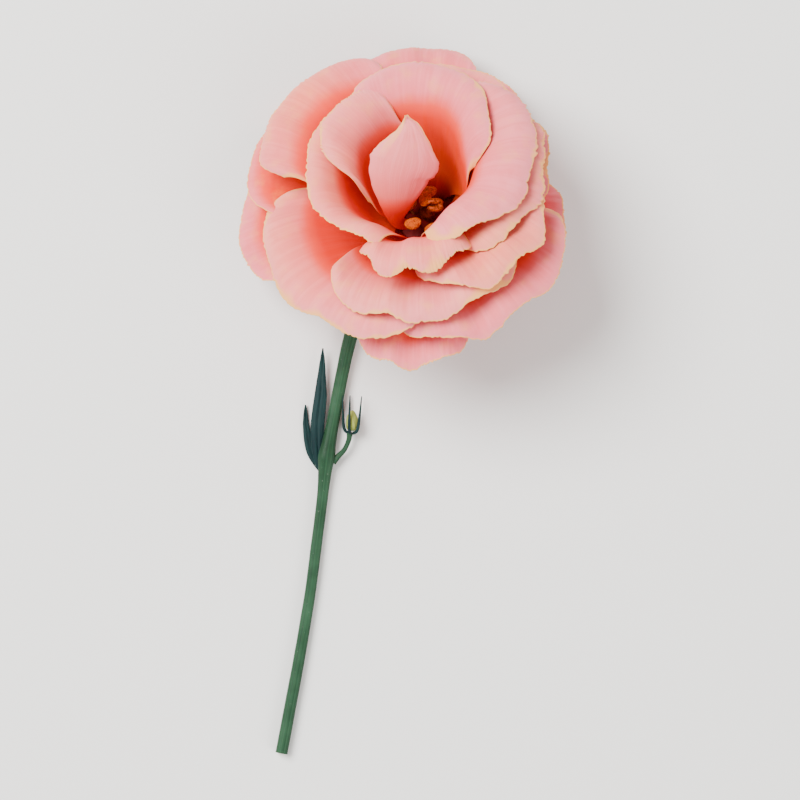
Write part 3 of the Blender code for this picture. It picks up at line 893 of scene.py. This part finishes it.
# tones below 0 deepen a petal's red, partly as painted shade in the gaps between petals
petalLooks = {
    "cup_left": dict(taper=0.20, curl=(0.0, 0.08), warm=0.45, tone=0.02, teeth=0.022, corner=0.22),
    "cup_back": dict(curl=(0.10, 0.0), warm=0.0, tone=-0.04),
    "cup_right": dict(curl=(0.05, 0.0), warm=0.2, tone=0.04, teeth=0.018, lip=34.0, grow=2.4, corner=0.10),
    "ring_left": dict(warm=0.5, tone=-0.03, teeth=0.020, corner=0.05, tuck=0.05, lip=36.0, grow=0.2),
    "ring_front": dict(curl=(0.0, 0.02), warm=0.6, teeth=0.018, corner=0.14, ruffle=0.008, grow=1.6, tuck=0.05,
                       lip=40.0),
    "ring_right": dict(warm=0.6, teeth=0.018, corner=0.26, tuck=0.05, lip=40.0),
    "front_right": dict(warm=0.6, corner=0.28),
    "front_left": dict(warm=0.6, tone=0.09, tuck=0.05, corner=0.12),
    "back_left": dict(tone=-0.03, corner=0.12),
    "outer_front_left": dict(tone=0.02),
    "outer_left": dict(quietRim, warm=0.3, tone=-0.22, ruffle=0.008),
    "outer_back": dict(warm=0.2, tone=-0.08, lip=18.0),
    "outer_right": dict(warm=0.1, tone=-0.08),
    "outer_front_right": dict(warm=0.1, tone=-0.08),
    "low_back_right": dict(quietRim, warm=0.1, tone=-0.08),
    "low_left": dict(quietRim, warm=0.0, tone=-0.16, ruffle=0.006),
    "low_front": dict(lip=15.0, warm=0.0, tone=-0.12),
    "low_right": dict(lip=15.0, warm=0.0, tone=-0.12),
    "low_back_left": dict(quietRim, warm=0.2, grow=0.0),
}
wall = wallTree()
petalMaker = petalTree(wall)


def makePetals():
    for number, (name, row) in enumerate(petals.items()):
        azimuth, spread, length, layer, (right, left) = row
        look = {**usualPetal, **petalLooks.get(name, {})}
        values = {
            "Azimuth": float(azimuth),
            "Spread": float(spread),
            "Length": length + look["lip"] / usualPetal["lip"] * look["grow"],
            "Layer": layer,
            "Right Shoulder": right,
            "Left Shoulder": left,
            "Right Curl": look["curl"][0],
            "Left Curl": look["curl"][1],
            "Seed": petalShape["seedStep"] * number,
            "Columns": petalShape["columns"],
            "Rows": petalShape["rows"],
            "Material": finishes["petal"],
        }
        for key in ("taper", "ruffle", "teeth", "lip", "corner", "tuck", "tone", "warm"):
            values[key.title()] = look[key]
        makePiece(f"petal_{name}_skin", petalMaker, values, f"petal_{name}", bloomPlace)


makePetals()
print("petals grown")


# ---- the other pieces

strapMaker = strapTree(wall)
tubeMaker = tubeTree()
turnedMaker = turnedTree()
antherMaker = antherTree()
# what most pieces use. An input that isn't given is 0
strapUse = {"Thickness": 0.4, "Edge Share": 0.5, "Edge Width": 1.0, "Columns": 25, "Rows": 80}
tubeUse = {"Sides": 16, "Steps": 40, "Grain": 300.0, "Grain Depth": 0.03}
turnedUse = {"Columns": 61, "Rows": 60}


def makeStrap(node, slot, rows, face, matrix, changes):
    values = {**strapUse, "Face": face, "Material": finishes[slot], **changes}
    makePiece(node + "_skin", strapMaker, values, node, matrix, pathData(node, rows))


def makeTube(name, node, slot, rows, matrix, changes):
    values = {**tubeUse, "Material": finishes[slot], **changes}
    makePiece(name, tubeMaker, values, node, matrix, pathData(name, rows))


def makeTurned(node, slot, rows, matrix, changes):
    values = {**turnedUse, "Material": finishes[slot], **changes}
    profile = [(radius, 0.0, height, 1.0) for radius, height in rows]
    makePiece(node + "_skin", turnedMaker, values, node, matrix, pathData(node, profile))


def wayTo(azimuth):
    angle = math.radians(azimuth)
    return Vector((math.cos(angle), math.sin(angle), 0.0))


petaloid = {
    # points of the middle line and half of the width there, in mm
    "line": (
        (-3.2, -2.6, 2.0, 0.9),
        (-5.4, -4.4, 7.0, 1.8),
        (-5.0, -3.7, 13.6, 4.1),
        (-3.5, -0.4, 19.9, 7.2),
        (-1.9, 2.6, 23.5, 8.2),
        (-0.9, 5.4, 25.7, 6.2),
        (-0.3, 8.8, 27.5, 3.3),
        (-0.9, 12.2, 28.7, 0.9),
    ),
    "face": (0.25, -0.50, 0.80),  # the way its outer side looks
    "look": {"Fall": 0.23, "Crinkle": 0.5, "Teeth": 0.16, "Columns": 81, "Rows": 90, "Seed": 4.4,
             "Thickness": 0.36, "Tone": 0.31, "Warm": 0.25},
}
makeStrap("petaloid", "petal", petaloid["line"], petaloid["face"], bloomPlace, petaloid["look"])
print("petaloid grown")

heart = {
    # radii and heights, in mm
    "ovary": ((0.0, 0.0), (1.2, 0.5), (1.9, 2.0), (1.6, 4.4), (0.7, 6.6), (0.55, 9.6), (0.0, 9.8)),
    "ovaryLook": {"Folds": 2.0, "Fold Depth": 0.12},
    "stigmaLobe": 0.78,  # mm, radius of a rolled lobe
    "stigmaSwell": (0.55, 0.45),  # share of that radius at the ends, and what the middle adds
    "stigmaReach": (1.55, 0.4),  # mm along and across
    "stigmaTurn": (0.35, 1.45),  # where a lobe starts and how far it bends, in half turns
    "stigmaApart": 0.5,
    "stigmaRise": 0.25,
    "stigmaLook": {"Grain": 2600.0, "Grain Depth": 0.12, "Sides": 24, "Steps": 60},
    "filamentFoot": 2.9,
    "filamentLift": 0.3,
    "filamentRadius": (0.32, 0.22),
    "filamentBow": 0.5,
    "filamentLook": {"Grain Depth": 0.02, "Sides": 14, "Steps": 30},
    "antherSize": (3.9, 2.8, 2.1),
    "antherGap": 0.1,
    "antherGroove": 0.45,
    "pollenPerArea": 2.6e7,
    "pollenRadius": 0.09,
    # azimuth, reach, height and heading of each anther, and azimuth of its filament's foot
    "stamens": (
        (66, 3.4, 7.2, 0, 48),
        (17, 0.9, 9.2, 85, 112),
        (246, 5.75, 7.4, 10, 236),
        (290, 6.0, 4.8, 20, 296),
        (160, 3.3, 5.8, 70, 172),
    ),
}


def makePistil():
    it = heart
    own = bloomPlace @ pistilTurn()
    makeTurned("ovary", "ovary", it["ovary"], own, it["ovaryLook"])
    tip = own @ Matrix.Translation((0.0, 0.0, stigmaHeight))
    long, wide = it["stigmaReach"]
    start, bend = it["stigmaTurn"]
    end, more = it["stigmaSwell"]
    steps = 8
    for number, way in enumerate((1.0, -1.0), start=1):
        rows = []
        for step in range(steps + 1):
            share = step / steps
            angle = math.pi * (bend * share - start)
            radius = it["stigmaLobe"] * (end + more * math.sin(math.pi * share))
            along = long * math.cos(angle) * (1.0 - it["stigmaRise"] * share)
            across = way * (it["stigmaApart"] + wide * math.sin(angle))
            rows.append((along, across, it["stigmaRise"] * share * way, radius))
        look = {**it["stigmaLook"], "Seed": 0.01 * number}
        makeTube(f"stigma_lobe_{number}", "stigma", "stigma", rows, tip, look)


def makeStamens():
    it = heart
    long, wide, tall = it["antherSize"]
    thick, thin = it["filamentRadius"]
    for number, (azimuth, reach, height, heading, footAzimuth) in enumerate(it["stamens"], start=1):
        out = wayTo(footAzimuth)
        lift = domeAt(it["filamentFoot"]) + bowl["gap"] + it["filamentLift"]
        foot = out * it["filamentFoot"] + Vector((0.0, 0.0, lift))
        head = wayTo(azimuth) * reach + Vector((0.0, 0.0, height))
        top = head - Vector((0.0, 0.0, 0.5 * tall + bowl["gap"] + it["antherGap"]))
        halfway = foot.lerp(top, 0.5) + out * it["filamentBow"]
        rows = ((*foot, thick), (*halfway, 0.5 * (thick + thin)), (*top, thin))
        name = f"filament_{number}"
        makeTube(name + "_skin", name, "filament", rows, bloomPlace, it["filamentLook"])
        own = bloomPlace @ Matrix.Translation(head * mm) @ Matrix.Rotation(math.radians(heading), 4, "Z")
        values = {"Length": long, "Width": wide, "Height": tall, "Groove": it["antherGroove"],
                  "Pollen": it["pollenPerArea"], "Grain Radius": it["pollenRadius"], "Seed": number,
                  "Skin": finishes["antherSkin"], "Dust": finishes["pollen"]}
        makePiece(f"anther_{number}_skin", antherMaker, values, f"anther_{number}", own)


makePistil()
makeStamens()
print("heart grown")

calyx = {
    "receptacle": ((0.0, -4.6), (1.75, -4.6), (5.0, -3.0), (7.7, -1.2), (8.4, -0.15), (7.6, 0.3), (4.0, 1.15),
                   (0.0, 1.5)),
    "receptacleLook": {"Folds": 5.0, "Fold Depth": 0.05, "Heart": 1.0},
    "sepalFoot": (7.6, -1.85),
    "sepalWidth": (0.12, 1.7),  # half of it, at the tip and at the foot
    "sepalPoint": 0.8,
    "sepalLook": {"Fall": 0.22, "Keel": -0.35, "Crinkle": 0.15},
    # azimuth, length and the angles from the axis at foot, middle and tip. The first one props the bloom up
    "sepals": (
        (18, 20.0, (118, 152, 112)),
        *((azimuth, 16.0, (98, 87, 76)) for azimuth in (90, 162, 234, 306)),
    ),
}


def bendAt(bend, share):
    # the smooth curve through three angles that the sepal follows
    first, second, third = bend
    padded = (2 * first - second, first, second, third, 2 * third - second)
    i = 0 if share < 0.5 else 1
    t = 2.0 * share - i
    a, b, c, d = padded[i : i + 4]
    return b + 0.5 * ((c - a) * t + (2 * a - 5 * b + 4 * c - d) * t**2 + (3 * b - a - 3 * c + d) * t**3)


def makeSepals():
    it = calyx
    steps = 8
    for number, (azimuth, length, bend) in enumerate(it["sepals"], start=1):
        radius, height = it["sepalFoot"]
        way = wayTo(azimuth)
        rows = []
        for step in range(steps + 1):
            half = between(it["sepalWidth"], (1.0 - step / steps) ** it["sepalPoint"])
            rows.append((way.x * radius, way.y * radius, height, half))
            tilt = math.radians(bendAt(bend, step / steps))
            radius += math.sin(tilt) * length / steps
            height += math.cos(tilt) * length / steps
        face = (way.x * 0.5, way.y * 0.5, 1.0)
        makeStrap(f"sepal_{number}", "calyx", rows, face, bloomPlace, {**it["sepalLook"], "Seed": 2.0 * number})


makeTurned("receptacle", "calyx", calyx["receptacle"], bloomPlace, calyx["receptacleLook"])
makeSepals()
print("calyx grown")

stem = {
    # points of the middle line and the radius there, in mm
    "line": (
        (2.2, -5.0, 7.8, 1.75),
        (1.0, -7.4, 5.2, 1.75),
        (-2.4, -10.8, 3.1, 1.75),
        (-7.2, -14.8, 2.1, 1.75),
        (-12.0, -19.6, 1.75, 1.75),
        (-15.6, -25.0, 1.75, 1.75),
        (-17.5, -31.0, 1.7, 1.7),
        (-19.1, -38.3, 1.6, 1.6),
        (-21.3, -49.6, 1.6, 1.6),
        (-22.4, -55.4, 1.8, 1.8),
        (-22.9, -58.5, 2.1, 2.1),
        (-23.3, -62.0, 1.7, 1.7),
        (-24.0, -69.0, 1.4, 1.4),
        (-25.4, -80.0, 1.4, 1.4),
        (-26.9, -91.5, 1.4, 1.4),
        (-29.4, -106.5, 1.45, 1.45),
        (-31.5, -117.8, 1.5, 1.5),
        (-33.8, -130.0, 1.5, 1.5),
    ),
    "neckDrop": 4.9,  # from the receptacle's base point to the stem's end
    "look": {"Sides": 40, "Steps": 320, "Cut": 1.0, "Ridges": 4.0, "Ridge Depth": 0.05, "Grain": 130.0,
             "Grain Depth": 0.06},
    "bract_long": (
        (-24.1, -61.5, 2.0, 0.8),
        (-25.0, -57.5, 2.2, 1.35),
        (-25.1, -51.0, 2.5, 1.6),
        (-24.3, -43.0, 2.8, 1.4),
        (-23.8, -32.4, 2.3, 0.2),
    ),
    "bract_short": (
        (-24.2, -61.8, 1.1, 0.7),
        (-26.8, -57.2, 0.9, 1.0),
        (-27.9, -51.0, 0.8, 0.75),
        (-28.0, -46.0, 0.8, 0.2),
    ),
    "bractLook": {"Fall": 0.25, "Keel": -0.35, "Seed": 1.3, "Crinkle": 0.2},
    "budStalk": (
        (-21.4, -59.8, 2.1, 0.9),
        (-20.1, -58.4, 2.2, 0.7),
        (-18.6, -56.8, 2.3, 0.6),
        (-17.6, -54.6, 2.6, 0.6),
        (-17.3, -52.8, 2.75, 0.75),
    ),
    "budBase": (-16.9, -52.3, 2.75),
    "budHeading": (0.05, 1.0, 0.06),
    "bud": ((0.0, 0.0), (1.0, 0.3), (1.5, 1.6), (1.25, 3.4), (0.5, 4.7), (0.0, 5.0)),
    "budLook": {"Folds": 5.0, "Fold Depth": 0.16, "Twist": 1.2},
    "budSepalTurn": 54.0,
    "budSepals": 5,
    "budSepal": ((0.5, -0.6, 0.32), (1.6, 0.1, 0.38), (2.1, 2.4, 0.34), (2.5, 8.4, 0.11)),
}


def makeStem():
    it = stem
    toTable = tablePlace.inverted() @ bloomPlace
    neck = toTable @ Vector((0.0, 0.0, -it["neckDrop"] * mm)) / mm
    rows = ((*neck, it["line"][0][3]), *it["line"])
    makeTube("stem_skin", "stem", "stem", rows, tablePlace, it["look"])
    for node in ("bract_long", "bract_short"):
        makeStrap(node, "bract", it[node], (0.0, 0.0, 1.0), tablePlace, it["bractLook"])


def makeBud():
    it = stem
    makeTube("bud_stalk_skin", "bud_stalk", "stem", it["budStalk"], tablePlace, {})
    heading = Vector(it["budHeading"]).to_track_quat("Z", "X").to_matrix().to_4x4()
    own = tablePlace @ Matrix.Translation(Vector(it["budBase"]) * mm) @ heading
    makeTurned("bud", "bud", it["bud"], own, it["budLook"])
    for number in range(it["budSepals"]):
        angle = math.radians(it["budSepalTurn"] + 360.0 / it["budSepals"] * number)
        rows = [(r * math.cos(angle), r * math.sin(angle), height, w) for r, height, w in it["budSepal"]]
        name = f"bud_sepal_{number + 1}"
        look = {"Sides": 12, "Seed": 0.1 * number, "Material": finishes["bract"]}
        makeTube(name + "_skin", name, "calyx", rows, own, look)


makeStem()
makeBud()
print("stem grown")

# ---- studio

studio = {
    "floorSize": 4.0,
    "floorColour": "e9e7e3",
    "floorRoughness": 0.7,
    "cameraHeight": 1.1,
    "lens": 205.0,
    # place and power of each soft light
    "key": ((-0.7, 0.5, 1.2), 52.0),
    "fill": ((0.9, -0.7, 0.9), 14.0),
    "lightSize": 0.9,
    "lightTarget": (0.0, 0.0, 0.02),
    "world": 0.78,
}


def makeFloor():
    mesh = bpy.data.meshes.new("floor")
    half = 0.5 * studio["floorSize"]
    corners = [(-half, -half, 0.0), (half, -half, 0.0), (half, half, 0.0), (-half, half, 0.0)]
    mesh.from_pydata(corners, [], [(0, 1, 2, 3)])
    paint = {"Base Color": srgb(studio["floorColour"])}
    mesh.materials.append(newMaterial("floorPaint", studio["floorRoughness"], paint)[0])
    addObject("floor", mesh)


def addLight(name):
    place, power = studio[name]
    data = bpy.data.lights.new(name, "AREA")
    data.shape = "DISK"
    data.size = studio["lightSize"]
    data.energy = power
    light = addObject(name, data)
    light.location = place
    light.rotation_euler = (Vector(studio["lightTarget"]) - light.location).to_track_quat("-Z", "Y").to_euler()


def makeStudio():
    makeFloor()
    addLight("key")
    addLight("fill")
    world = bpy.data.worlds.new("studio")
    world.use_nodes = True
    background = world.node_tree.nodes["Background"]
    background.inputs[0].default_value = (1.0, 1.0, 1.0, 1.0)
    background.inputs[1].default_value = studio["world"]
    bpy.context.scene.world = world
    data = bpy.data.cameras.new("camera")
    data.lens = studio["lens"]
    data.sensor_width = 36.0
    camera = addObject("camera", data)
    camera.location = (0.0, 0.0, studio["cameraHeight"])
    bpy.context.scene.camera = camera


makeStudio()
print("studio lit")
